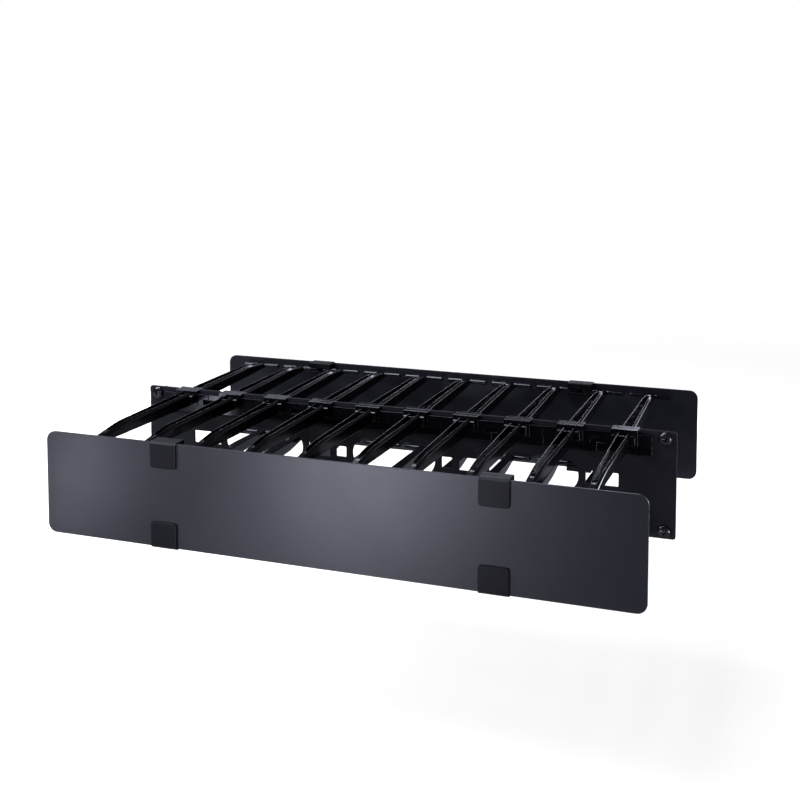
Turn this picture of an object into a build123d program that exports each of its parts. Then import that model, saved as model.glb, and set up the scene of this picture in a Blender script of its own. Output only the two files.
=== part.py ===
from build123d import *
import os

os.makedirs("parts", exist_ok=True)

# Horizontal cable manager, two rack units high, with cable fingers and a hinged cover on both sides
# +X runs along the rack's width, +Y points into the rack, +Z is up
# The origin is the middle of the panel's rear face, which lies against the rack posts

# Rack standard
rack_width = 482.6
rack_step = 44.45
step_count = 2
height_allowance = 0.8
screw_side_margin = 8.75
screw_step_margin = 6.35

# Panel
panel_thickness = 2.0
panel_corner = 2.0
panel_ear = 19.05
window_web = 5.9
big_window_length = 76.2
big_window_height = 28.4
inner_window_length = 20.6
outer_window_length = 27.0
small_window_height = 11.4
square_hole = 9.5

# Rack screws
screw_major = 6.0
screw_neck = 4.8
screw_length = 16.0
screw_head = 11.0
screw_head_height = 3.4
screw_slot_length = 9.6
screw_slot_clearance = 0.4
screw_slot_corner = 2.0

# Fingers: reach is measured from the middle of the panel's thickness, depth from the panel's nearer long edge
finger_count = 10
finger_reach = 149.0
kink_reach = 116.0

# Finger beam
beam_top_depth = 1.75
beam_root_height = 11.7
beam_kink_height = 10.1
beam_tip_height = 4.8
beam_tip_depth = 6.15
beam_root_width = 12.0
beam_tip_width = 7.6
shoulder = 1.8
rail_flat = 0.5
channel_depth = 7.7
channel_start = 7.2
channel_tip_margin = 10.0
rib_reach = 15.0
rib_thickness = 1.3
rib_depth = 1.1

# Finger tip crossbar
bar_gap = 4.25
bar_radius = 2.2
bar_sides = 12

# Finger foot
foot_gap = 0.4
foot_depth = 3.35
foot_height = 10.1
foot_thickness = 4.6
skirt_height = 7.6
skirt_thickness = 2.2
saddle_depth = 0.15
saddle_lift = 1.0
saddle_width = 22.0
saddle_thickness = 2.0
saddle_clearance = 0.15
saddle_gap = 0.1
gusset_width = 3.5
gusset_height = 8.1
gusset_reach = 12.0
tie_slot_width = 11.0
tie_slot_height = 4.8
tie_slot_base = 0.6
tie_slot_cells = (1, 3, 7, 9)

# Covers
cover_margin = 2.4
cover_standoff = 7.4
cover_thickness = 2.0
cover_corner = 7.5

# Cover clips
clip_width = 23.0
clip_cell = 3
clip_tab_thickness = 1.8
clip_tab_length = 21.0
clip_tab_corner = 2.0
clip_roof_thickness = 0.85
clip_roof_bevel = 1.8
clip_roof_groove = 0.7
clip_edge_gap = 0.1
socket_clearance = 0.1
socket_wall = 1.7
socket_lip = 0.6
socket_bevel = 1.2
snap_lip = 0.55

# Values that follow from the ones above
middle = panel_thickness / 2
panel_height = step_count * rack_step - height_allowance
panel_edge = panel_height / 2
screw_spacing_x = rack_width - 2 * screw_side_margin
screw_spacing_z = step_count * rack_step - 2 * screw_step_margin
screw_slot_width = screw_major + 2 * screw_slot_clearance
square_hole_centre = (big_window_length + square_hole) / 2 + window_web
inner_window_centre = square_hole_centre + (square_hole + inner_window_length) / 2 + window_web
big_window_centre = inner_window_centre + (inner_window_length + big_window_length) / 2 + window_web
outer_window_centre = big_window_centre + (big_window_length + outer_window_length) / 2 + window_web

finger_pitch = (rack_width - 2 * panel_ear) / finger_count
finger_row_length = (finger_count - 1) * finger_pitch
finger_centres = [i * finger_pitch - finger_row_length / 2 for i in range(finger_count)]
beam_top = panel_edge - beam_top_depth
beam_root_bottom = beam_top - beam_root_height
beam_kink_bottom = beam_top - beam_kink_height
beam_tip_top = panel_edge - beam_tip_depth
beam_tip_bottom = beam_tip_top - beam_tip_height
beam_taper = (beam_root_width - beam_tip_width) / (finger_reach - middle)
rail = shoulder + rail_flat
channel_end = finger_reach - channel_tip_margin
channel_floor = beam_top - channel_depth
channel_root_width = beam_root_width - beam_taper * (channel_start - middle) - 2 * rail
channel_tip_width = beam_root_width - beam_taper * (channel_end - middle) - 2 * rail
rib_top = beam_top - rib_depth
bar_length = finger_pitch - bar_gap
bar_height = (beam_tip_top + beam_tip_bottom) / 2
foot_width = finger_pitch - foot_gap
foot_reach = middle + foot_thickness
foot_top = panel_edge - foot_depth
foot_step = foot_top - foot_height
foot_bottom = foot_step - skirt_height
saddle_top = panel_edge - saddle_depth
saddle_bottom = saddle_top - saddle_thickness
notch_depth = saddle_depth + saddle_thickness + saddle_clearance
saddle_reach = foot_reach + saddle_lift
gusset_bottom = foot_top - gusset_height
tie_slot_bottom = foot_step + tie_slot_base

cover_height = panel_height - 2 * cover_margin
cover_edge = cover_height / 2
cover_inner_reach = finger_reach + cover_standoff
cover_outer_reach = cover_inner_reach + cover_thickness
clip_centre = clip_cell * finger_pitch
clip_slot_top = cover_edge + clip_edge_gap
clip_top = clip_slot_top + clip_roof_thickness
clip_outer_reach = cover_outer_reach + clip_tab_thickness
clip_groove_reach = (cover_inner_reach + finger_reach) / 2 + clip_roof_groove
socket_radius = bar_radius + socket_clearance
socket_bottom = bar_height - socket_radius - socket_wall
socket_front = finger_reach - socket_radius - socket_lip


def across(reach):
    """Upright plane facing forwards, the given distance in front of the middle of the panel."""
    return Plane.XZ.offset(middle + reach)


def side_point(reach, height):
    """Point of a side view, drawn on the YZ plane."""
    return (-middle - reach, height)


def side_view(points):
    """Closed polygon of a side view from pairs of reach and height."""
    return Polyline(*[side_point(*p) for p in points], close=True)


# Panel: one flat sheet with notches for the finger saddles, windows for cables and slotted ears
with BuildPart() as mounting_panel:
    with BuildSketch(Plane.XZ):
        Rectangle(rack_width, panel_height)
        chamfer(vertices(), panel_corner)
        with Locations(*[(x, edge) for x in finger_centres for edge in (-panel_edge, panel_edge)]):
            Rectangle(saddle_width + 2 * saddle_clearance, 2 * notch_depth, mode=Mode.SUBTRACT)
        with GridLocations(big_window_centre, 0, 3, 1):
            SlotOverall(big_window_length, big_window_height, mode=Mode.SUBTRACT)
        with GridLocations(2 * inner_window_centre, 0, 2, 1):
            Rectangle(inner_window_length, small_window_height, mode=Mode.SUBTRACT)
        with GridLocations(2 * outer_window_centre, 0, 2, 1):
            Rectangle(outer_window_length, small_window_height, mode=Mode.SUBTRACT)
        with GridLocations(2 * square_hole_centre, 0, 2, 1):
            Rectangle(square_hole, square_hole, mode=Mode.SUBTRACT)
        with BuildSketch(mode=Mode.PRIVATE) as ear_slot:
            Rectangle(screw_slot_length, screw_slot_width)
            chamfer(ear_slot.vertices(), screw_slot_corner)
        with GridLocations(screw_spacing_x, screw_spacing_z, 2, 2):
            add(ear_slot.sketch, mode=Mode.SUBTRACT)
    extrude(amount=panel_thickness)

mounting_panel.part.label = "mounting_panel"
export_step(mounting_panel.part, "parts/mounting_panel.step")

# Rack screws: pan heads in front of the ears, a neck through each ear and a thread behind it
with BuildPart() as rack_screws:
    with BuildSketch(Plane.XZ.offset(panel_thickness)):
        with GridLocations(screw_spacing_x, screw_spacing_z, 2, 2):
            Circle(screw_head / 2)
    extrude(amount=screw_head_height)
    with BuildSketch(Plane.XZ):
        with GridLocations(screw_spacing_x, screw_spacing_z, 2, 2):
            Circle(screw_neck / 2)
    extrude(amount=panel_thickness)
    with BuildSketch(Plane.XZ):
        with GridLocations(screw_spacing_x, screw_spacing_z, 2, 2):
            Circle(screw_major / 2)
    extrude(amount=panel_thickness - screw_length)

rack_screws.part.label = "rack_screws"
export_step(rack_screws.part, "parts/rack_screws.step")


def plan_view(root, tip):
    """Closed outline seen from above, symmetrical about X = 0, from its reach and width at both ends."""
    right = [(width / 2, -middle - reach) for reach, width in (root, tip)]
    left = [(-x, y) for x, y in reversed(right)]
    return Polyline(*right, *left, close=True)


def finger(slot_side):
    """Upper front finger at X = 0. slot_side is the side of its foot that has half of a tie slot."""
    with BuildPart() as body:
        # Beam with a level back and a drooping tip, tapered as seen from above
        with BuildSketch(Plane.YZ):
            with BuildLine():
                side_view([
                    (middle, beam_root_bottom),
                    (kink_reach, beam_kink_bottom),
                    (finger_reach, beam_tip_bottom),
                    (finger_reach, beam_tip_top),
                    (kink_reach, beam_top),
                    (middle, beam_top),
                ])
            make_face()
        extrude(amount=beam_root_width / 2, both=True)
        with BuildSketch(Plane.XY):
            with BuildLine():
                plan_view((middle, beam_root_width), (finger_reach, beam_tip_width))
            make_face()
        extrude(amount=saddle_top, mode=Mode.INTERSECT)
        back = body.faces().filter_by(lambda f: f.normal_at().Z > 0.5)
        chamfer(back.edges().filter_by(lambda e: abs(e.tangent_at(0.5).Y) > 0.5), shoulder)
        # Gussets on both sides of the beam's root, as one block across it
        with BuildSketch(across(middle)):
            with Locations((0, (gusset_bottom + foot_top) / 2)):
                Rectangle(beam_root_width + 2 * gusset_width, gusset_height)
        extrude(amount=gusset_reach - middle)
        # Crossbar at the tip
        with BuildSketch(Plane.YZ):
            with Locations(side_point(finger_reach, bar_height)):
                RegularPolygon(bar_radius, bar_sides)
        extrude(amount=bar_length / 2, both=True)
        # Open channel along the back, with a rib across its root
        with BuildSketch(Plane.XY.offset(channel_floor)):
            with BuildLine():
                plan_view((channel_start, channel_root_width), (channel_end, channel_tip_width))
            make_face()
        extrude(amount=beam_top, mode=Mode.SUBTRACT)
        with BuildSketch(across(rib_reach)):
            with Locations((0, (channel_floor + rib_top) / 2)):
                Rectangle(channel_root_width, rib_top - channel_floor)
        extrude(amount=rib_thickness)
        # Foot plate, thinner skirt and the saddle over the panel's notch, drawn from the side
        with BuildSketch(Plane.YZ):
            with BuildLine():
                side_view([
                    (middle, foot_bottom),
                    (middle + skirt_thickness, foot_bottom),
                    (middle + skirt_thickness, foot_step),
                    (foot_reach, foot_step),
                    (foot_reach, foot_top),
                    (middle, foot_top),
                ])
            make_face()
        extrude(amount=foot_width / 2, both=True)
        with BuildSketch(Plane.YZ):
            with BuildLine():
                side_view([
                    (middle, foot_step),
                    (saddle_reach, foot_step),
                    (saddle_reach, saddle_top),
                    (saddle_gap, saddle_top),
                    (saddle_gap, saddle_bottom),
                    (middle, saddle_bottom),
                ])
            make_face()
        extrude(amount=saddle_width / 2, both=True)
        # Half of a tie slot at one side of the foot
        if slot_side:
            with BuildSketch(across(middle)):
                with Locations((slot_side * finger_pitch / 2, tie_slot_bottom + tie_slot_height / 2)):
                    Rectangle(tie_slot_width, tie_slot_height)
            extrude(amount=foot_thickness, mode=Mode.SUBTRACT)
    return body.part


def tie_slot_side(index):
    """1 or -1 where the finger shares a tie slot with its right or left neighbour, else 0."""
    if index + 1 in tie_slot_cells:
        return 1
    return -1 if index in tie_slot_cells else 0


masters = {side: finger(side) for side in (-1, 0, 1)}

# The four rows of fingers: each is the upper front finger moved along X and mirrored where needed
for depth_name, behind in (("front", False), ("rear", True)):
    for level_name, below in (("upper", False), ("lower", True)):
        for index, x in enumerate(finger_centres):
            slot_side = tie_slot_side(index)
            with BuildPart() as cable_finger:
                add(masters[slot_side].moved(Location((x, 0, 0))))
                if behind:
                    mirror(about=Plane.XZ.offset(middle), mode=Mode.REPLACE)
                if below:
                    mirror(about=Plane.XY, mode=Mode.REPLACE)
            name = f"{depth_name}_{level_name}_finger_{index + 1:02d}"
            cable_finger.part.label = name
            export_step(cable_finger.part, f"parts/{name}.step")

# Covers: flat sheets with rounded corners in front of the finger tips and behind them
for cover_name, behind in (("front_cover", False), ("rear_cover", True)):
    with BuildPart() as cover:
        with BuildSketch(across(cover_inner_reach)):
            RectangleRounded(rack_width, cover_height, cover_corner)
        extrude(amount=cover_thickness)
        if behind:
            mirror(about=Plane.XZ.offset(middle), mode=Mode.REPLACE)
    cover.part.label = cover_name
    export_step(cover.part, f"parts/{cover_name}.step")


def clip(mouth):
    """Upper front clip at X = 0: a hook over the cover's edge with a socket for the ends of two crossbars.

    mouth is the height of the opening by which the crossbars enter the socket.
    """
    with BuildPart() as body:
        with BuildSketch(Plane.YZ):
            with BuildLine():
                side_view([
                    (cover_inner_reach, clip_slot_top),
                    (cover_outer_reach, clip_slot_top),
                    (cover_outer_reach, clip_top - clip_tab_length),
                    (clip_outer_reach, clip_top - clip_tab_length),
                    (clip_outer_reach, clip_top - clip_roof_bevel),
                    (clip_outer_reach - clip_roof_bevel, clip_top),
                    (clip_groove_reach + clip_roof_groove, clip_top),
                    (clip_groove_reach, clip_top - clip_roof_groove),
                    (clip_groove_reach - clip_roof_groove, clip_top),
                    (socket_front + socket_bevel, clip_top),
                    (socket_front, clip_top - socket_bevel),
                    (socket_front, socket_bottom + socket_bevel),
                    (socket_front + socket_bevel, socket_bottom),
                    (cover_inner_reach, socket_bottom),
                ])
            make_face()
            with Locations(side_point(finger_reach, bar_height)):
                Circle(socket_radius, mode=Mode.SUBTRACT)
            with Locations(side_point((finger_reach + socket_front) / 2, bar_height)):
                Rectangle(finger_reach - socket_front, mouth, mode=Mode.SUBTRACT)
        extrude(amount=clip_width / 2, both=True)
        tab_end = body.edges().filter_by(Axis.Y).group_by(Axis.Z)[0]
        chamfer(tab_end, clip_tab_corner)
    return body.part


# The upper clips snap round their crossbars as hinges, and the lower ones are open jaws that slide off
clip_masters = {"upper": clip(2 * (socket_radius - snap_lip)), "lower": clip(2 * socket_radius)}

for depth_name, behind in (("front", False), ("rear", True)):
    for level_name, clip_master in clip_masters.items():
        for side_name, side in (("left", -1), ("right", 1)):
            with BuildPart() as cover_clip:
                add(clip_master.moved(Location((side * clip_centre, 0, 0))))
                if behind:
                    mirror(about=Plane.XZ.offset(middle), mode=Mode.REPLACE)
                if level_name == "lower":
                    mirror(about=Plane.XY, mode=Mode.REPLACE)
            name = f"{depth_name}_{level_name}_clip_{side_name}"
            cover_clip.part.label = name
            export_step(cover_clip.part, f"parts/{name}.step")
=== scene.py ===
"""Horizontal cable manager for a server rack, lit and photographed in a plain studio.

Shapes are worked out in millimetres in the frame's axes: X along the rack, Y into it, Z up. They become
metres when they are put into a mesh. Reach is the distance from the middle of the panel's sheet towards a
cover. Each finger and clip is drawn once, as the upper front one at X = 0, and its copies are moved and
mirrored from there.
"""
import math

import bpy
import numpy as np
from mathutils import Euler, Matrix
from mathutils.geometry import tessellate_polygon


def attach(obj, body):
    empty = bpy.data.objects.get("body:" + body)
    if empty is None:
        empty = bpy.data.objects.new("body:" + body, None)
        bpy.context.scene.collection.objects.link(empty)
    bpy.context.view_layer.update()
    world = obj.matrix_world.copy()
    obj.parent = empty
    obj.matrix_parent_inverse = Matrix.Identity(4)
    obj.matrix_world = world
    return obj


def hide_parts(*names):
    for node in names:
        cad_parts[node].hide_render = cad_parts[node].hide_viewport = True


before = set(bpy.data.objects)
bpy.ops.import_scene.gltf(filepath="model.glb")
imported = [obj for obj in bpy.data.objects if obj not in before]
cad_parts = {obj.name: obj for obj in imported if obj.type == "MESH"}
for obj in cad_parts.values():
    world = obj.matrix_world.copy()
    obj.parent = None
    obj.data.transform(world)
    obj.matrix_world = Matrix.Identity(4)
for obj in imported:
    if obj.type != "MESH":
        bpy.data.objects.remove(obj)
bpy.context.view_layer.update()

MM = 0.001

# Rack standard
rack_width = 482.6
rack_step = 44.45
height_allowance = 0.8
screw_side_margin = 8.75
screw_step_margin = 6.35

# Panel, two rack steps high
panel_thickness = 2.0
middle = panel_thickness / 2
panel_half_width = rack_width / 2
panel_half_height = rack_step - height_allowance / 2
panel_ear = 19.05
panel_corner = 2.0
panel_rim = 0.3
screw_spacing = (rack_width - 2 * screw_side_margin, 2 * (rack_step - screw_step_margin))
thread_radius = 3.0
ear_slot_length = 9.6
ear_slot_clearance = 0.4
ear_slot = (ear_slot_length, 2 * (thread_radius + ear_slot_clearance))

# Windows, each a web away from the next, from the middle of the panel outwards
window_web = 5.9
window_corner = 1.0
big_window = (76.2, 28.4)
square_hole = (9.5, 9.5)
inner_window = (20.6, 11.4)
outer_window = (27.0, 11.4)
square_hole_centre = (big_window[0] + square_hole[0]) / 2 + window_web
inner_window_centre = square_hole_centre + (square_hole[0] + inner_window[0]) / 2 + window_web
big_window_centre = inner_window_centre + (inner_window[0] + big_window[0]) / 2 + window_web
outer_window_centre = big_window_centre + (big_window[0] + outer_window[0]) / 2 + window_web

# Finger beams
fingers_per_row = 10
finger_pitch = (rack_width - 2 * panel_ear) / fingers_per_row
finger_reach = 149.0
kink_reach = 116.0
kink_softness = 9.0
beam_top_depth = 1.75
beam_tip_depth = 6.15
beam_root_height = 11.7
beam_kink_height = 10.1
beam_tip_height = 4.8
beam_top = panel_half_height - beam_top_depth
beam_tip_top = panel_half_height - beam_tip_depth
beam_root_bottom = beam_top - beam_root_height
beam_kink_bottom = beam_top - beam_kink_height
beam_tip_bottom = beam_tip_top - beam_tip_height
beam_root_half_width = 6.0
beam_tip_half_width = 3.8
beam_tip_round = 1.6
beam_shoulder = 1.8
beam_shoulder_share = 0.45
shoulder_softness = 0.9
rail_flat = 0.5
rail_softness = 0.08
underside_softness = 0.6
channel_depth = 7.7
channel_floor = beam_top - channel_depth
channel_start = 7.2
channel_opening = 0.6
channel_tip_margin = 9.0
channel_fade_length = 28.0
channel_fade_start = finger_reach - channel_tip_margin - channel_fade_length
channel_lip = 0.35
channel_least_depth = 0.01
rib_reach = 15.0
rib_depth = 1.1
rib_top = beam_top - rib_depth
rib_thickness = 1.3
rib_rim = 0.35

# Crossbars
bar_gap = 4.25
bar_half_length = (finger_pitch - bar_gap) / 2
bar_radius = 2.2
bar_height = (beam_tip_top + beam_tip_bottom) / 2
bar_dome = 1.7
collar_sides = (5.0, 6.3)
collar_slope = 0.2
collar_rise = 0.3

# Finger feet, whose forms run into each other by the overlap
overlap = 1.0
foot_gap = 0.45
foot_depth = 3.35
foot_height = 10.1
foot_thickness = 4.6
foot_corner = 0.28
foot_rim = 0.2
foot_half_width = (finger_pitch - foot_gap) / 2
foot_reach = middle + foot_thickness
foot_top = panel_half_height - foot_depth
foot_step = foot_top - foot_height
skirt_height = 7.6
skirt_thickness = 2.2
skirt_corner = 0.6
skirt_rim = 0.4
skirt_reach = middle + skirt_thickness
skirt_bottom = foot_step - skirt_height
saddle_half_width = 11.0
saddle_depth = 0.15
saddle_thickness = 2.0
saddle_lift = 1.0
saddle_gap = 0.1
saddle_rim = 0.32
saddle_reach = foot_reach + saddle_lift
saddle_top = panel_half_height - saddle_depth
saddle_bottom = saddle_top - saddle_thickness
gusset_width = 3.5
gusset_height = 8.1
gusset_reach = 12.0
gusset_rim = 0.5
gusset_sides = (beam_root_half_width - overlap, beam_root_half_width + gusset_width)
gusset_bottom = foot_top - gusset_height

# Notches, which clear the saddles
notch_side_gap = 0.65
notch_floor_gap = 0.15
notch_corner = 0.3
notch_half_width = saddle_half_width + notch_side_gap
notch_floor = saddle_bottom - notch_floor_gap

# Tie slots are shared by a finger and its right neighbour, at these fingers counted from 1
tie_slot_fingers = (1, 3, 7, 9)
tie_slot_half_width = 5.5
tie_slot_base = 0.6
tie_slot_height = 4.8
tie_slot_bottom = foot_step + tie_slot_base
tie_slot_top = tie_slot_bottom + tie_slot_height

# Covers
cover_margin = 2.4
cover_standoff = 7.4
cover_thickness = 2.0
cover_corner = 7.5
cover_rim = 0.22
cover_half_width = panel_half_width
cover_half_height = panel_half_height - cover_margin
cover_back_reach = finger_reach + cover_standoff
cover_front_reach = cover_back_reach + cover_thickness

# Clips, each placed where two neighbouring crossbars meet
clip_place = 3 * finger_pitch
clip_half_width = 11.5
clip_edge_gap = 0.1
clip_roof_thickness = 0.85
clip_roof_rim = 0.25
clip_roof_setback = 0.05
clip_slot_top = cover_half_height + clip_edge_gap
clip_top = clip_slot_top + clip_roof_thickness
clip_bevel = 1.8
clip_tab_thickness = 1.8
clip_tab_length = 21.0
clip_tab_corner = 2.2
clip_tab_shoulder = 0.8
clip_tab_rim = 0.6
clip_tab_reach = cover_front_reach + clip_tab_thickness
clip_tab_bottom = clip_top - clip_tab_length
clip_groove_depth = 0.7
clip_groove_reach = (cover_back_reach + finger_reach) / 2 + clip_groove_depth
socket_clearance = 0.1
socket_radius = bar_radius + socket_clearance
socket_wall = 1.7
socket_lip = 0.6
snap_lip = 0.55

# Screws
screw_head_radius = 5.5
screw_head_height = 3.4
screw_head_edge = 1.0
screw_dome_power = 2.6
recess_depth = 1.9
recess_arm_half_width = 0.62
recess_arm_reach = 3.1
recess_arm_slopes = (0.25, 0.45)
recess_arm_fall = 0.22
recess_pit_radius = 1.45
recess_pit_slope = 0.4
screw_neck_radius = 2.4
screw_neck_sink = 0.2
thread_end = 14.0
thread_depth = 0.28
thread_pitch = 1.0
thread_plain_ends = (0.6, 0.8)
thread_chamfer = 0.3
thread_chamfer_radii = (2.7, 2.5, 2.1)

# Meshes, with the crease angle in degrees
crease_angle = 40.0
arc_steps = 5
around_steps = 28

# A Mix node's colour sockets go by number, because other sockets of it have the same names
mix_first = 6
mix_second = 7
mix_result = 2

# Camera, floor and light, in metres and degrees
camera_place = (0.3496, -0.9594, 0.3035)
camera_turn = 19.727
camera_tilt = 4.475
camera_lens = 53.892
camera_shift_y = -0.25
floor_level = -0.2
floor_half_size = 6.0
floor_lift = (0.60, 1.0)
floor_lift_reach = (0.5, 2.6)
floor_pale = (0.88, 0.85, 0.71)
floor_dim = (0.3, 0.3, 0.3)
lamp_colour = (0.81, 0.84, 1.0)
world_colour = (0.82, 0.82, 1.0)
horizon_light = 3.0
horizon_fade = (0.02, 0.10)
horizon_behind = (0.2, 0.6)
dim_light = 0.05


def in_plane(plane, flat, height):
    """Points of a drawing plane in the frame's axes: (u, v) across the plane and height along its normal.

    The front plane has u = X, v = Z and its normal along -Y. The side plane has u = Y, v = Z and its normal
    along +X.
    """
    u, v = flat[..., 0], flat[..., 1]
    h = np.broadcast_to(height, u.shape)
    order = {"front": (u, -h, v), "side": (h, u, v)}[plane]
    return np.stack(order, axis=-1)


def grid_faces(rows, columns, offset=0):
    """Four-cornered faces of a grid of points whose columns close on themselves."""
    row = np.arange(rows - 1)[:, None] * columns + offset
    column = np.arange(columns)[None, :]
    beside = (column + 1) % columns
    corners = [row + column, row + beside, row + columns + beside, row + columns + column]
    return np.stack(corners, axis=-1).reshape(-1, 4).tolist()


def tube(points):
    """Closed shell from rings of points (rings, around, 3), with a flat face over the first and last ring."""
    rings, around, _ = points.shape
    faces = grid_faces(rings, around)
    faces.append(list(range(around))[::-1])
    faces.append([(rings - 1) * around + i for i in range(around)])
    return points.reshape(-1, 3), faces


def rounded(corners, radius, steps=arc_steps):
    """Closed outline with each corner replaced by an arc of the given radius, or of its own from a list.

    The arc starts and ends at radius * tan(turn / 2) from the corner, and its points turn evenly about its
    centre.
    """
    corners = np.asarray(corners, float)
    radii = np.broadcast_to(radius, len(corners))
    before = corners - np.roll(corners, 1, axis=0)
    before /= np.linalg.norm(before, axis=1)[:, None]
    after = np.roll(before, -1, axis=0)
    outline = []
    for corner, way_in, way_out, r in zip(corners, before, after, radii):
        turn = math.atan2(way_in[0] * way_out[1] - way_in[1] * way_out[0], way_in @ way_out)
        if r == 0 or abs(turn) < 1e-6:
            outline.append(corner[None])
            continue
        start = corner - way_in * r * math.tan(abs(turn) / 2)
        side = np.array([-way_in[1], way_in[0]]) * math.copysign(1, turn)
        angle = np.linspace(0, abs(turn), steps)[:, None]
        outline.append(start + r * (np.sin(angle) * way_in + (1 - np.cos(angle)) * side))
    return np.concatenate(outline)


def drawn(corners):
    """Closed outline from corners that are each given as (u, v, radius)."""
    corners = np.array(corners)
    return rounded(corners[:, :2], corners[:, 2])


def rectangle(size, centre=(0.0, 0.0), corner=0.0, steps=arc_steps):
    """Anticlockwise rectangle with rounded corners."""
    half = np.array(size) / 2
    signs = np.array([(-1, -1), (1, -1), (1, 1), (-1, 1)])
    return rounded(signs * half + np.array(centre), corner, steps)


def upright(half_width, low, high, corner=0.0, steps=arc_steps):
    """Rectangle in the front plane, centred on X = 0, between two heights."""
    return rectangle((2 * half_width, high - low), (0, (high + low) / 2), corner, steps)


def round_ended(size, centre, steps):
    """Rectangle whose ends are half circles, a hair short of meeting so that no two points coincide."""
    return rectangle(size, centre, size[1] / 2 - 0.01, steps)


def inset(outline, amount):
    """The outline moved inwards by each of the given amounts, as one ring of points for each.

    A point moves along the sum of its two edges' normals, divided by one plus the cosine between them.
    """
    edge = np.roll(outline, -1, axis=0) - outline
    edge /= np.linalg.norm(edge, axis=1)[:, None]
    normal = np.stack([edge[:, 1], -edge[:, 0]], axis=1)
    earlier = np.roll(normal, 1, axis=0)
    mitre = (normal + earlier) / (1 + (normal * earlier).sum(axis=1))[:, None]
    return outline[None] - np.asarray(amount)[:, None, None] * mitre[None]


def slab(plane, outlines, low, high, edge, steps=4):
    """Flat plate with rounded rims between two heights. Outlines after the first are clockwise holes.

    At each rim the outline is inset by edge * (1 - sin a) at a height of edge * (1 - cos a) from the face,
    for a from 0 to a quarter turn, so that the section's corners are quarter circles.
    """
    angle = np.linspace(0, math.pi / 2, steps)
    insets = edge * (1 - np.sin(angle))
    rises = edge * (1 - np.cos(angle))
    insets = np.concatenate([insets, insets[::-1]])
    heights = np.concatenate([low + rises, high - rises[::-1]])
    points, faces, rims, count = [], [], [], 0
    for outline in outlines:
        rings = inset(outline, insets)
        around = len(outline)
        points.append(in_plane(plane, rings, heights[:, None]).reshape(-1, 3))
        faces += grid_faces(len(heights), around, count)
        rims.append((rings[0], count, count + (len(heights) - 1) * around))
        count += len(heights) * around
    flat = np.concatenate([ring for ring, _, _ in rims])
    lower = np.concatenate([np.arange(len(ring)) + first for ring, first, _ in rims])
    upper = np.concatenate([np.arange(len(ring)) + last for ring, _, last in rims])
    if len(outlines) == 1:
        return np.concatenate(points), faces + [lower[::-1].tolist(), upper.tolist()]
    triangles = np.array(tessellate_polygon([[(u, v, 0.0) for u, v in ring] for ring, _, _ in rims]))
    a, b, c = (flat[triangles[:, i]] for i in range(3))
    clockwise = (b - a)[:, 0] * (c - a)[:, 1] < (b - a)[:, 1] * (c - a)[:, 0]
    triangles[clockwise] = triangles[clockwise][:, ::-1]
    return np.concatenate(points), faces + upper[triangles].tolist() + lower[triangles[:, ::-1]].tolist()


def turned(profile, centre, axis):
    """Solid of revolution about a line along axis ("x" or "y") through centre.

    The profile is pairs of place along the line and radius, and each pair becomes a circle of that radius.
    """
    profile = np.asarray(profile, float)
    angle = np.linspace(0, 2 * math.pi, around_steps, endpoint=False)
    along = np.broadcast_to(profile[:, 0, None], (len(profile), around_steps))
    cosine, sine = profile[:, 1, None] * np.cos(angle), profile[:, 1, None] * np.sin(angle)
    order = {"x": (along, cosine, sine), "y": (sine, along, cosine)}[axis]
    return tube(np.stack(order, axis=-1) + np.array(centre))


def joined(shells):
    """One mesh from several closed shells."""
    points, faces, count = [], [], 0
    for shell_points, shell_faces in shells:
        points.append(shell_points)
        faces += [[i + count for i in face] for face in shell_faces]
        count += len(shell_points)
    return np.concatenate(points), faces


def flipped(shell, axis, about=0.0):
    """The shell mirrored along an axis about a place on it, with its faces turned to point outwards again."""
    points, faces = shell
    points = points.copy()
    points[:, axis] = 2 * about - points[:, axis]
    return points, [face[::-1] for face in faces]


def placed(shell, x, behind, below):
    """A shell of the upper front side, moved along X and mirrored to the rear side or the lower row."""
    points, faces = shell
    shell = points + np.array([x, 0, 0]), faces
    if behind:
        shell = flipped(shell, 1, -middle)
    if below:
        shell = flipped(shell, 2)
    return shell


def new_piece(name, shell, material, body, node):
    """A finished piece, smooth between near-level faces, that rides on its body and replaces its node."""
    points, faces = shell
    mesh = bpy.data.meshes.new(name)
    mesh.from_pydata((points * MM).tolist(), [], faces)
    mesh.polygons.foreach_set("use_smooth", np.ones(len(mesh.polygons), bool))
    mesh.set_sharp_from_angle(angle=math.radians(crease_angle))
    mesh.materials.append(material)
    piece = bpy.data.objects.new(name, mesh)
    bpy.context.scene.collection.objects.link(piece)
    weighted = piece.modifiers.new("even_faces", "WEIGHTED_NORMAL")
    weighted.keep_sharp = True
    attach(piece, body)
    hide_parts(node)


def finger_centres():
    """X of each finger in a row."""
    return (np.arange(fingers_per_row) - (fingers_per_row - 1) / 2) * finger_pitch


def screw_places():
    """X and Z of the four rack screws."""
    return [(sx * screw_spacing[0] / 2, sz * screw_spacing[1] / 2) for sx in (-1, 1) for sz in (-1, 1)]


def tie_slot_side(index):
    """1 or -1 where the finger shares a tie slot with its right or left neighbour, else 0."""
    if index + 1 in tie_slot_fingers:
        return 1
    return -1 if index in tie_slot_fingers else 0


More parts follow.
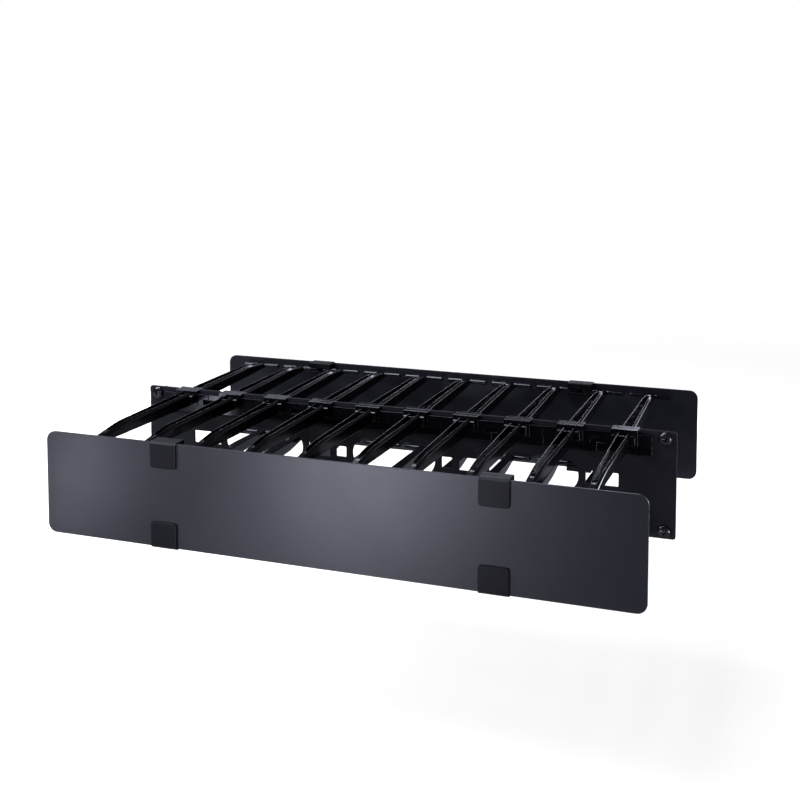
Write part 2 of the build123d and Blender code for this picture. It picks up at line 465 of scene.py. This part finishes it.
def panel_shell():
    """The panel's sheet: an outline notched at each finger, with round-ended, square and slotted holes."""
    upper = [(-panel_half_width, panel_half_height)]
    for x in finger_centres():
        left, right = x - notch_half_width, x + notch_half_width
        upper += [(left, panel_half_height), (left, notch_floor)]
        upper += [(right, notch_floor), (right, panel_half_height)]
    upper.append((panel_half_width, panel_half_height))
    upper.reverse()
    lower = [(-x, -z) for x, z in upper]
    radii = np.full(len(upper) * 2, notch_corner)
    radii[[0, len(upper) - 1, len(upper), -1]] = panel_corner
    outlines = [rounded(upper + lower, radii, 4)]

    holes = [round_ended(big_window, (x, 0), 17) for x in (-big_window_centre, 0, big_window_centre)]
    for size, centre in ((inner_window, inner_window_centre), (outer_window, outer_window_centre),
                         (square_hole, square_hole_centre)):
        holes += [rectangle(size, (x, 0), window_corner) for x in (-centre, centre)]
    holes += [round_ended(ear_slot, place, 7) for place in screw_places()]
    outlines += [hole[::-1] for hole in holes]
    return slab("front", outlines, 0.0, panel_thickness, panel_rim)


def beam_stations():
    """Reaches of the beam's sections, from the panel to the tip.

    Each stretch has its own count of even steps, shorter where the beam bends, and the tip's steps follow a
    quarter circle.
    """
    floor_start = channel_start + channel_opening
    return np.concatenate([
        np.linspace(middle, channel_start, 4)[:-1],
        np.linspace(channel_start, floor_start, 3)[:-1],
        np.linspace(floor_start, kink_reach - kink_softness, 22)[:-1],
        np.linspace(kink_reach - kink_softness, kink_reach + kink_softness, 13)[:-1],
        np.linspace(kink_reach + kink_softness, finger_reach, 15)[:-1],
        finger_reach + beam_tip_round * np.sin(np.linspace(0, math.pi / 2, 6)[:-1]),
    ])


def softened(x, z, way_in, way_out, softness):
    """A corner of the section drawn as a parabola between points set back along its two edges.

    For t from 0 to 1 it is corner - softness * (1 - t) ** 2 * way_in + softness * t ** 2 * way_out.
    """
    t = np.linspace(0, 1, 5)
    return (x + softness * ((1 - t) ** 2 * -way_in[0] + t ** 2 * way_out[0]),
            z + softness * ((1 - t) ** 2 * -way_in[1] + t ** 2 * way_out[1]))


def beam_shell():
    """The finger's beam: a U section with sloping shoulders, carried from the panel to the tip.

    Stations follow the reach. The top is level up to the kink, falls in a straight line after it, and
    changes slope evenly over the kink's softness on each side. Widths and the underside are straight lines
    of reach. The channel's depth fades out by a cosine before the tip, and the last stations shrink along a
    quarter circle. Each section has shoulders at 45 degrees between flank and top, and its corners are
    parabolas.
    """
    reach = beam_stations()[:, None]
    slope = (beam_top - beam_tip_top) / (finger_reach - kink_reach)
    bend = np.clip((reach - kink_reach + kink_softness) / (2 * kink_softness), 0, 1)
    fall = kink_softness * bend ** 2 + np.maximum(reach - kink_reach - kink_softness, 0)
    top = beam_top - slope * fall
    bottom = np.interp(reach, [middle, kink_reach, finger_reach],
                       [beam_root_bottom, beam_kink_bottom, beam_tip_bottom])
    nose = np.sqrt(1 - np.clip((reach - finger_reach) / beam_tip_round, 0, 1) ** 2)
    half_width = nose * np.interp(reach, [middle, finger_reach], [beam_root_half_width, beam_tip_half_width])
    centre = (top + bottom) / 2
    top = centre + (top - centre) * nose
    bottom = centre + (bottom - centre) * nose

    opening = np.clip((reach - channel_start) / channel_opening, 0, 1)
    fade = np.clip((reach - channel_fade_start) / channel_fade_length, 0, 1)
    depth = channel_depth * opening * (0.5 + 0.5 * np.cos(math.pi * fade)) + channel_least_depth * nose
    shoulder = np.minimum(beam_shoulder, half_width * beam_shoulder_share)
    channel_half = half_width - rail_flat * nose - shoulder
    lip = np.minimum(channel_lip, depth / 3)

    # Right half of the section, from the middle of the underside round to the middle of the channel's floor
    up_slope = (-math.sqrt(0.5), math.sqrt(0.5))
    corners = [
        softened(half_width, bottom, (1, 0), (0, 1), underside_softness * nose),
        softened(half_width, top - shoulder, (0, 1), up_slope, shoulder_softness * nose),
        softened(half_width - shoulder, top, up_slope, (-1, 0), rail_softness * nose),
        softened(channel_half, top, (-1, 0), (0, -1), lip),
        softened(channel_half, top - depth, (0, -1), (-1, 0), lip),
    ]
    x = np.concatenate([corner[0] for corner in corners], axis=1)
    z = np.concatenate([corner[1] for corner in corners], axis=1)
    right = np.stack([x, np.broadcast_to(-middle - reach, x.shape), z], axis=-1)
    left = right[:, ::-1] * np.array([-1, 1, 1])
    return tube(np.concatenate([right, left], axis=1))


def crossbar_shell():
    """The round crossbar at the tip: a turned shape with domed ends and a low collar beside the beam.

    A dome's radius is bar_radius * sin(a) at bar_dome * (1 - cos(a)) from the end. It starts a little above
    a = 0, which leaves a small flat, and goes up to a quarter turn.
    """
    angle = np.linspace(0.06, math.pi / 2, 7)
    end = np.stack([bar_half_length - bar_dome + bar_dome * np.cos(angle), bar_radius * np.sin(angle)],
                   axis=1)
    inner, outer = collar_sides
    raised = bar_radius + collar_rise
    collar = [(outer, bar_radius), (outer - collar_slope, raised), (inner + collar_slope, raised),
              (inner, bar_radius)]
    right = np.concatenate([end, collar])
    left = right[::-1] * np.array([-1, 1])
    return turned(np.concatenate([left, right[::-1]]), (0, -middle - finger_reach, bar_height), "x")


def foot_outline(slot_side):
    """Outline of the foot plate seen from the front, with half a tie slot cut into one side."""
    right = [(foot_half_width, foot_step), (foot_half_width, foot_top)]
    if slot_side:
        edge = finger_pitch / 2 - tie_slot_half_width
        right[1:1] = [(foot_half_width, tie_slot_bottom), (edge, tie_slot_bottom),
                      (edge, tie_slot_top), (foot_half_width, tie_slot_top)]
    outline = np.array(right + [(-foot_half_width, foot_top), (-foot_half_width, foot_step)])
    if slot_side < 0:
        outline = outline[::-1] * np.array([-1, 1])
    return rounded(outline, foot_corner, 3)


def saddle_shell():
    """The raised saddle over the foot, whose lip hooks back over the panel's notch."""
    front = -panel_thickness
    seam = -middle - saddle_gap
    face = -middle - saddle_reach
    outline = drawn([(face, foot_step, 0.35), (front, foot_step, 0.35), (front, saddle_bottom, 0),
                     (seam, saddle_bottom, 0.35), (seam, saddle_top, 0.4), (face, saddle_top, 0.6)])
    return slab("side", [outline], -saddle_half_width, saddle_half_width, saddle_rim)


def finger_shell(slot_side):
    """The whole finger: beam, crossbar, rib, foot plate, skirt, saddle and a gusset block on each side."""
    rib_half_width = beam_root_half_width - beam_shoulder - rail_flat
    rib = upright(rib_half_width, channel_floor - overlap, rib_top)
    skirt = upright(foot_half_width, skirt_bottom, foot_step + overlap, skirt_corner)
    rib_back = middle + rib_reach
    gusset_front, gusset_back = -middle - gusset_reach, -middle - saddle_reach + overlap
    gusset = drawn([(gusset_front, gusset_bottom, 0.6), (gusset_back, gusset_bottom, 0),
                    (gusset_back, foot_top, 0), (gusset_front, foot_top, 1.8)])
    inner, outer = gusset_sides
    return joined([
        beam_shell(),
        crossbar_shell(),
        slab("front", [rib], rib_back, rib_back + rib_thickness, rib_rim),
        slab("front", [foot_outline(slot_side)], panel_thickness, middle + foot_reach, foot_rim),
        slab("front", [skirt], panel_thickness, middle + skirt_reach, skirt_rim),
        saddle_shell(),
        slab("side", [gusset], inner, outer, gusset_rim),
        slab("side", [gusset], -outer, -inner, gusset_rim),
    ])


def cover_shell():
    """The front cover: a sheet with round corners and softened rims."""
    outline = rectangle((2 * cover_half_width, 2 * cover_half_height), corner=cover_corner, steps=13)
    return slab("front", [outline], middle + cover_back_reach, middle + cover_front_reach, cover_rim)


def clip_shell(snaps):
    """The clip: a tab on the cover's face, and a roof over its edge that ends in a socket.

    The roof and socket are drawn from the side. The socket is an arc about the crossbar, more than half a
    turn where it snaps.
    """
    bevel_foot = clip_top - clip_bevel
    tab = upright(clip_half_width, clip_tab_bottom, bevel_foot,
                  (clip_tab_corner, clip_tab_corner, clip_tab_shoulder, clip_tab_shoulder), 8)

    lip_rise = socket_radius - snap_lip if snaps else socket_radius
    start = math.asin(lip_rise / socket_radius)
    angle = np.linspace(-start, start - 2 * math.pi, 25)
    arc = np.stack([-middle - finger_reach + socket_radius * np.cos(angle),
                    bar_height + socket_radius * np.sin(angle), np.zeros(len(angle))], axis=1)

    floor = bar_height - socket_radius - socket_wall
    mouth = -middle - (finger_reach - socket_radius - socket_lip)
    cover_back = -middle - cover_back_reach
    cover_front = -middle - cover_front_reach
    face = -middle - (clip_tab_reach - clip_roof_setback)
    groove = -middle - clip_groove_reach
    below = [(cover_back, floor, 0), (mouth, floor, 0.9), (mouth, bar_height - lip_rise, 0.35)]
    above = [
        (mouth, bar_height + lip_rise, 0.35),
        (mouth, clip_top, 1.1),
        (groove + clip_groove_depth, clip_top, 0.3),
        (groove, clip_top - clip_groove_depth, 0),
        (groove - clip_groove_depth, clip_top, 0.3),
        (face + clip_bevel, clip_top, 0.5),
        (face, bevel_foot, 0),
        (face, bevel_foot - overlap, 0),
        (cover_front, bevel_foot - overlap, 0),
        (cover_front, clip_slot_top, 0),
        (cover_back, clip_slot_top, 0),
    ]
    roof = drawn(np.concatenate([below, arc, above]))
    return joined([
        slab("front", [tab], middle + cover_front_reach, middle + clip_tab_reach, clip_tab_rim, 5),
        slab("side", [roof], -clip_half_width, clip_half_width, clip_roof_rim),
    ])


def thread_shell(x, z):
    """A screw's neck and thread: a turned shape whose radius dips by a cosine once for each pitch."""
    turns = np.linspace(thread_plain_ends[0], thread_end - thread_plain_ends[1], 60)
    dip = thread_depth * (0.5 + 0.5 * np.cos(2 * math.pi * turns / thread_pitch))
    first, last, point = thread_chamfer_radii
    profile = [(-panel_thickness - screw_neck_sink, screw_neck_radius), (-thread_chamfer, screw_neck_radius),
               (0.0, first)]
    profile += list(zip(turns, thread_radius - dip))
    profile += [(thread_end - thread_chamfer, last), (thread_end, point)]
    return turned(profile, (x, 0, z), "y")


def screw_shell(x, z):
    """One rack screw: a domed head with a cross recess, a neck through the ear and a ridged thread.

    The head is a polar sheet of rings round its middle. At radius r its height is screw_head_edge +
    (screw_head_height - screw_head_edge) * sqrt(1 - (r / screw_head_radius) ** screw_dome_power). The recess
    sinks within two crossed arms, whose depth falls off with the distance from the middle, and within a
    round pit, and both have sloping walls.
    """
    around, rings = 96, 34
    angle = np.linspace(0, 2 * math.pi, around, endpoint=False)[None, :]
    radius = screw_head_radius * np.sin(np.linspace(0.01, math.pi / 2, rings))[:, None]
    across, up = radius * np.cos(angle), radius * np.sin(angle)
    bulge = np.sqrt(np.maximum(1 - (radius / screw_head_radius) ** screw_dome_power, 0))
    dome = screw_head_edge + (screw_head_height - screw_head_edge) * bulge

    near = np.minimum(np.abs(across), np.abs(up))
    far = np.maximum(np.abs(across), np.abs(up))
    side_slope, end_slope = recess_arm_slopes
    arm = np.clip((recess_arm_half_width - near) / side_slope, 0, 1)
    arm = arm * np.clip((recess_arm_reach - far) / end_slope, 0, 1)
    pit = np.clip((recess_pit_radius - radius) / recess_pit_slope, 0, 1)
    recess = recess_depth * np.maximum(arm * (1 - recess_arm_fall * far), pit)

    # Two more rings close the head's back, down to the neck
    neck = screw_neck_radius / screw_head_radius
    across = np.concatenate([across, across[-1:], neck * across[-1:]])
    up = np.concatenate([up, up[-1:], neck * up[-1:]])
    proud = np.concatenate([dome - recess, np.zeros((2, around))])
    head = tube(np.stack([across + x, -panel_thickness - proud, up + z], axis=-1)[::-1])
    return joined([head, thread_shell(x, z)])


# Materials


def shader_group(name, inputs, outputs):
    """An empty shader node group with the named sockets of each kind, and its input and output nodes."""
    group = bpy.data.node_groups.new(name, "ShaderNodeTree")
    for direction, sockets in (("INPUT", inputs), ("OUTPUT", outputs)):
        for label, kind in sockets.items():
            group.interface.new_socket(label, in_out=direction, socket_type="NodeSocket" + kind)
    return group, group.nodes.new("NodeGroupInput"), group.nodes.new("NodeGroupOutput")


def linked(tree, kind, inputs, **settings):
    """A new node with its settings, and each input either linked to a socket or set to a value."""
    node = tree.nodes.new(kind)
    for key, value in settings.items():
        setattr(node, key, value)
    for key, value in inputs.items():
        if isinstance(value, bpy.types.NodeSocket):
            tree.links.new(value, node.inputs[key])
        else:
            node.inputs[key].default_value = value
    return node


def mixed_colour(tree, factor, first, second):
    """The colour between first and second by factor, from a Mix node's numbered colour sockets."""
    node = linked(tree, "ShaderNodeMix", {"Factor": factor, mix_first: first, mix_second: second},
                  data_type="RGBA")
    return node.outputs[mix_result]


def surface_group():
    """Grain of a finish: a colour with slow variation, a roughness with patches, and a bump normal.

    The colour goes from Colour to Lighter in soft clouds. The roughness is Roughness + Roughness Spread *
    (cloud + fine grain - 0.5). The normal has fine grain and broad waves, each with its scale and depth.
    """
    group, given, result = shader_group(
        "finish_grain",
        {"Colour": "Color", "Lighter": "Color", "Roughness": "Float", "Roughness Spread": "Float",
         "Grain Scale": "Float", "Grain Depth": "Float", "Wave Scale": "Float", "Wave Depth": "Float"},
        {"Colour": "Color", "Roughness": "Float", "Normal": "Vector"})
    place = linked(group, "ShaderNodeTexCoord", {}).outputs["Object"]
    cloud = linked(group, "ShaderNodeTexNoise",
                   {"Vector": place, "Scale": 14.0, "Detail": 4.0, "Roughness": 0.6})
    grain = linked(group, "ShaderNodeTexNoise",
                   {"Vector": place, "Scale": given.outputs["Grain Scale"], "Detail": 2.0, "Roughness": 0.5})
    wave = linked(group, "ShaderNodeTexNoise",
                  {"Vector": place, "Scale": given.outputs["Wave Scale"], "Detail": 1.0, "Roughness": 0.4})
    mask = linked(group, "ShaderNodeMapRange",
                  {"Value": cloud.outputs["Fac"], "From Min": 0.35, "From Max": 0.7}).outputs["Result"]
    colour = mixed_colour(group, mask, given.outputs["Colour"], given.outputs["Lighter"])
    swing = linked(group, "ShaderNodeMath", {0: grain.outputs["Fac"], 1: 0.5}, operation="SUBTRACT")
    patch = linked(group, "ShaderNodeMath", {0: mask, 1: swing.outputs[0]}, operation="ADD")
    rough = linked(group, "ShaderNodeMath",
                   {0: patch.outputs[0], 1: given.outputs["Roughness Spread"], 2: given.outputs["Roughness"]},
                   operation="MULTIPLY_ADD")
    fine = linked(group, "ShaderNodeBump", {"Strength": given.outputs["Grain Depth"], "Distance": 0.0002,
                                            "Height": grain.outputs["Fac"]})
    broad = linked(group, "ShaderNodeBump", {"Strength": given.outputs["Wave Depth"], "Distance": 0.001,
                                             "Height": wave.outputs["Fac"], "Normal": fine.outputs["Normal"]})
    group.links.new(colour, result.inputs["Colour"])
    group.links.new(rough.outputs[0], result.inputs["Roughness"])
    group.links.new(broad.outputs["Normal"], result.inputs["Normal"])
    return group


def finish(name, grain, colour, lighter, roughness, spread, grain_scale, grain_depth, wave_scale, wave_depth,
           specular=0.5):
    """A painted or moulded finish: the grain group feeding a Principled shader with a constant specular."""
    material = bpy.data.materials.new(name)
    material["slot"] = name
    material.use_nodes = True
    tree = material.node_tree
    bsdf = tree.nodes["Principled BSDF"]
    bsdf.inputs["Specular IOR Level"].default_value = specular
    surface = linked(tree, "ShaderNodeGroup", {}, node_tree=grain)
    values = {"Colour": (*colour, 1), "Lighter": (*lighter, 1), "Roughness": roughness,
              "Roughness Spread": spread, "Grain Scale": grain_scale, "Grain Depth": grain_depth,
              "Wave Scale": wave_scale, "Wave Depth": wave_depth}
    for key, value in values.items():
        surface.inputs[key].default_value = value
    tree.links.new(surface.outputs["Colour"], bsdf.inputs["Base Color"])
    tree.links.new(surface.outputs["Roughness"], bsdf.inputs["Roughness"])
    tree.links.new(surface.outputs["Normal"], bsdf.inputs["Normal"])
    return material


finish_grain = surface_group()
panel_paint = finish(
    "panel_paint", finish_grain, colour=(0.0095, 0.0093, 0.0130), lighter=(0.0115, 0.0112, 0.0155),
    roughness=0.60, spread=0.08, grain_scale=1800.0, grain_depth=0.25, wave_scale=260.0, wave_depth=0.10,
    specular=0.35)
cover_paint = finish(
    "cover_paint", finish_grain, colour=(0.0100, 0.0103, 0.0140), lighter=(0.0120, 0.0123, 0.0165),
    roughness=0.34, spread=0.05, grain_scale=2200.0, grain_depth=0.10, wave_scale=200.0, wave_depth=0.05)
finger_plastic = finish(
    "finger_plastic", finish_grain, colour=(0.0036, 0.0035, 0.0050), lighter=(0.0050, 0.0049, 0.0068),
    roughness=0.12, spread=0.05, grain_scale=1400.0, grain_depth=0.008, wave_scale=120.0, wave_depth=0.012)
clip_plastic = finish(
    "clip_plastic", finish_grain, colour=(0.0035, 0.0035, 0.0045), lighter=(0.0050, 0.0050, 0.0062),
    roughness=0.34, spread=0.08, grain_scale=1600.0, grain_depth=0.15, wave_scale=160.0, wave_depth=0.08,
    specular=0.19)
screw_steel = finish(
    "screw_steel", finish_grain, colour=(0.0060, 0.0060, 0.0065), lighter=(0.010, 0.010, 0.011),
    roughness=0.16, spread=0.08, grain_scale=900.0, grain_depth=0.12, wave_scale=300.0, wave_depth=0.05,
    specular=1.0)

# Pieces
new_piece("panel_sheet", panel_shell(), panel_paint, "frame", "mounting_panel")
new_piece("cross_head_screws", joined([screw_shell(x, z) for x, z in screw_places()]), screw_steel, "frame",
          "rack_screws")

finger_kinds = {side: finger_shell(side) for side in (-1, 0, 1)}
clip_kinds = {"upper": clip_shell(snaps=True), "lower": clip_shell(snaps=False)}
for depth_name, behind in (("front", False), ("rear", True)):
    cover = placed(cover_shell(), 0, behind, below=False)
    new_piece(f"{depth_name}_cover_sheet", cover, cover_paint, f"{depth_name}_door", f"{depth_name}_cover")
    for level_name, below in (("upper", False), ("lower", True)):
        for index, x in enumerate(finger_centres()):
            node = f"{depth_name}_{level_name}_finger_{index + 1:02d}"
            shell = placed(finger_kinds[tie_slot_side(index)], x, behind, below)
            new_piece(node + "_moulding", shell, finger_plastic, "frame", node)
        for side_name, x in (("left", -clip_place), ("right", clip_place)):
            node = f"{depth_name}_{level_name}_clip_{side_name}"
            shell = placed(clip_kinds[level_name], x, behind, below)
            new_piece(node + "_moulding", shell, clip_plastic, f"{depth_name}_door", node)


# Studio


def add_floor():
    """A large pale floor that shows white to the camera, and keeps its dimmer light and the shadow."""
    mesh = bpy.data.meshes.new("studio_floor")
    half = floor_half_size
    mesh.from_pydata([(-half, -half, floor_level), (half, -half, floor_level), (half, half, floor_level),
                      (-half, half, floor_level)], [], [(0, 1, 2, 3)])
    floor = bpy.data.objects.new("studio_floor", mesh)
    bpy.context.scene.collection.objects.link(floor)
    material = bpy.data.materials.new("floor_white")
    material.use_nodes = True
    tree = material.node_tree
    bsdf = tree.nodes["Principled BSDF"]
    bsdf.inputs["Roughness"].default_value = 0.9
    bsdf.inputs["Specular IOR Level"].default_value = 0.1
    bsdf.inputs["Emission Color"].default_value = (1, 1, 1, 1)
    camera_ray = linked(tree, "ShaderNodeLightPath", {}).outputs["Is Camera Ray"]
    place = linked(tree, "ShaderNodeTexCoord", {}).outputs["Object"]
    away = linked(tree, "ShaderNodeVectorMath", {0: place, 1: (0.0, 0.0, floor_level)}, operation="DISTANCE")
    near, far = floor_lift_reach
    least, most = floor_lift
    lift = linked(tree, "ShaderNodeMapRange",
                  {"Value": away.outputs["Value"], "From Min": near, "From Max": far, "To Min": least,
                   "To Max": most}, interpolation_type="SMOOTHSTEP")
    seen = linked(tree, "ShaderNodeMath", {0: camera_ray, 1: lift.outputs["Result"]}, operation="MULTIPLY")
    pale = mixed_colour(tree, camera_ray, (*floor_dim, 1), (*floor_pale, 1))
    tree.links.new(pale, bsdf.inputs["Base Color"])
    tree.links.new(seen.outputs[0], bsdf.inputs["Emission Strength"])
    mesh.materials.append(material)


def add_world():
    """A white studio to the camera and through clear things, lit by a low bright band behind the object."""
    world = bpy.data.worlds.new("studio")
    bpy.context.scene.world = world
    world.use_nodes = True
    tree = world.node_tree
    background = tree.nodes["Background"]
    way = linked(tree, "ShaderNodeTexCoord", {}).outputs["Generated"]
    axes = linked(tree, "ShaderNodeSeparateXYZ", {"Vector": way})
    band = linked(tree, "ShaderNodeMapRange",
                  {"Value": axes.outputs["Z"], "From Min": horizon_fade[0], "From Max": horizon_fade[1],
                   "To Min": horizon_light, "To Max": 0.0}, interpolation_type="SMOOTHSTEP")
    behind = linked(tree, "ShaderNodeMapRange", {"Value": axes.outputs["Y"], "From Min": horizon_behind[0],
                                                 "From Max": horizon_behind[1]})
    light = linked(tree, "ShaderNodeMath", {0: band.outputs["Result"], 1: behind.outputs["Result"],
                                            2: dim_light}, operation="MULTIPLY_ADD")
    path = linked(tree, "ShaderNodeLightPath", {})
    seen = linked(tree, "ShaderNodeMath", {0: path.outputs["Is Camera Ray"],
                                           1: path.outputs["Is Transmission Ray"]}, operation="MAXIMUM")
    strength = linked(tree, "ShaderNodeMix", {"Factor": seen.outputs[0], "A": light.outputs[0], "B": 1.0})
    colour = mixed_colour(tree, seen.outputs[0], (*world_colour, 1), (1, 1, 1, 1))
    tree.links.new(colour, background.inputs["Color"])
    tree.links.new(strength.outputs["Result"], background.inputs["Strength"])


def add_softbox(name, place, aim, size, radiance, lean=0.0):
    """An oblong lamp at a place, turned towards a point and leaned about its axis by degrees.

    Its power is worked out from its radiance.
    """
    lamp = bpy.data.lights.new(name, "AREA")
    lamp.shape = "RECTANGLE"
    lamp.size, lamp.size_y = size
    lamp.energy = radiance * math.pi * size[0] * size[1]
    lamp.color = lamp_colour
    holder = bpy.data.objects.new(name, lamp)
    holder.location = place
    way = np.array(aim) - np.array(place)
    flat = math.hypot(way[0], way[1])
    turn = Euler((math.pi / 2 + math.atan2(way[2], flat), 0, math.atan2(-way[0], way[1])))
    holder.rotation_euler = (turn.to_matrix() @ Matrix.Rotation(math.radians(lean), 3, "Z")).to_euler()
    holder.visible_camera = False
    bpy.context.scene.collection.objects.link(holder)


def add_camera():
    """The photograph's view: turned to the left, tilted down a little, with the frame shifted down."""
    lens = bpy.data.cameras.new("camera")
    lens.sensor_width = 36.0
    lens.lens = camera_lens
    lens.shift_y = camera_shift_y
    lens.clip_start = 0.01
    lens.clip_end = 50.0
    camera = bpy.data.objects.new("camera", lens)
    camera.location = camera_place
    camera.rotation_euler = (math.radians(90 - camera_tilt), 0, math.radians(camera_turn))
    bpy.context.scene.collection.objects.link(camera)
    bpy.context.scene.camera = camera


add_floor()
add_world()
add_softbox("low_front_softbox", place=(-0.145, -0.64, -0.06), aim=(0.03, -0.16, 0.0), size=(0.15, 0.26),
            radiance=12.0)
add_softbox("left_softbox", place=(-0.335, -0.34, -0.05), aim=(-0.21, -0.16, 0.0), size=(0.045, 0.11),
            radiance=7.0)
add_softbox("high_left_softbox", place=(-0.75, -0.5, 0.65), aim=(0.0, 0.0, 0.0), size=(0.4, 0.4),
            radiance=14.0)
add_softbox("overhead_softbox", place=(-0.43, -0.05, 1.2), aim=(-0.4, -0.04, 0.0), size=(1.1, 0.5),
            radiance=9.0)
add_softbox("low_right_softbox", place=(0.66, -0.48, -0.08), aim=(0.0, 0.0, 0.0), size=(0.2, 0.2),
            radiance=10.0)
add_softbox("rear_left_softbox", place=(-1.1, 1.5, 0.52), aim=(0.0, 0.0, 0.04), size=(0.7, 0.4),
            radiance=0.35)
add_softbox("rear_strip", place=(-0.167, 1.168, 0.556), aim=(0.0, 0.0, 0.04), size=(0.85, 0.08),
            radiance=6.0, lean=27.0)
add_softbox("low_rear_softbox", place=(0.0, 1.1, -0.05), aim=(0.0, 0.16, 0.0), size=(0.3, 0.14),
            radiance=11.0)
for side_name, x in (("right", 0.8), ("left", -0.8)):
    add_softbox(f"low_rear_{side_name}_softbox", place=(x, 0.85, -0.08), aim=(0.0, 0.16, 0.0),
                size=(0.35, 0.2), radiance=11.0)
add_camera()
bpy.context.scene.view_settings.view_transform = "Standard"
